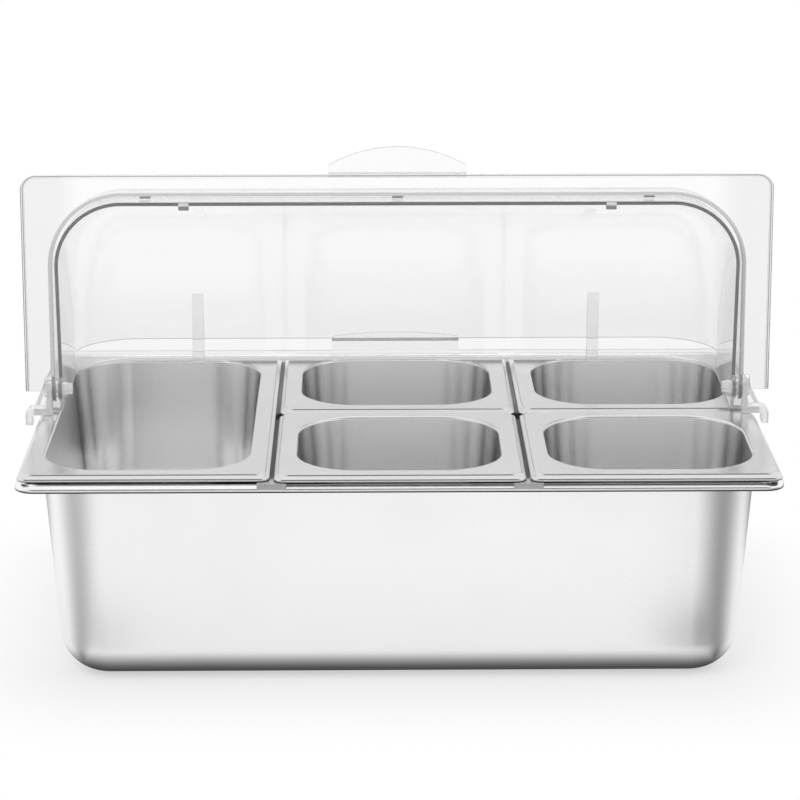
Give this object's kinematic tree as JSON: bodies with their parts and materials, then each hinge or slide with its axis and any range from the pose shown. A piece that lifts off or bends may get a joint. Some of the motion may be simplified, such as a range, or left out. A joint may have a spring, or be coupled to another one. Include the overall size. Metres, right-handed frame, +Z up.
{
  "type": "countertop condiment display",
  "caption": "Chilled countertop display: a deep steel pan carrying small steel pans on cross bars, under two clear nesting roll-top covers that turn on pivot pins.",
  "frame": {"origin": "middle of the outer pan's flat underside, on the counter", "axes": "+X along the long side to the right, +Y from the front to the back, +Z up"},
  "size_m": [0.546, 0.3381, 0.3556],
  "materials": {
    "pan_steel": "satin stainless steel, drawn",
    "small_pan_steel": "stainless steel with fine handling marks",
    "bar_steel": "brushed stainless strip",
    "clear_cover": "clear polycarbonate, polished",
    "clear_hinge": "clear moulded polycarbonate"
  },
  "bodies": {
    "base": {"outer_pan": "pan_steel", "third_size_pan": "small_pan_steel", "sixth_pan_centre_front": "small_pan_steel", "sixth_pan_centre_rear": "small_pan_steel", "sixth_pan_right_front": "small_pan_steel", "sixth_pan_right_rear": "small_pan_steel", "support_bar_left": "bar_steel", "support_bar_right": "bar_steel"},
    "hinge_mount": {"hinge_bracket_left": "clear_hinge", "hinge_bracket_right": "clear_hinge", "pivot_pin_left": "clear_hinge", "pivot_pin_right": "clear_hinge"},
    "front_lid": {"front_cover": "clear_cover"},
    "rear_lid": {"rear_cover": "clear_cover"}
  },
  "joints": [
    {"name": "cover_lift", "type": "slide", "parent": "base", "child": "hinge_mount", "axis": [0, 0, 1], "range_m": [0, 0.06]},
    {"name": "front_cover_hinge", "type": "hinge", "parent": "hinge_mount", "child": "front_lid", "pos_m": [0, 0, 0.1774], "axis": [1, 0, 0], "range_deg": [0, 93]},
    {"name": "rear_cover_hinge", "type": "hinge", "parent": "hinge_mount", "child": "rear_lid", "pos_m": [0, 0, 0.1774], "axis": [1, 0, 0], "range_deg": [0, 5]}
  ]
}
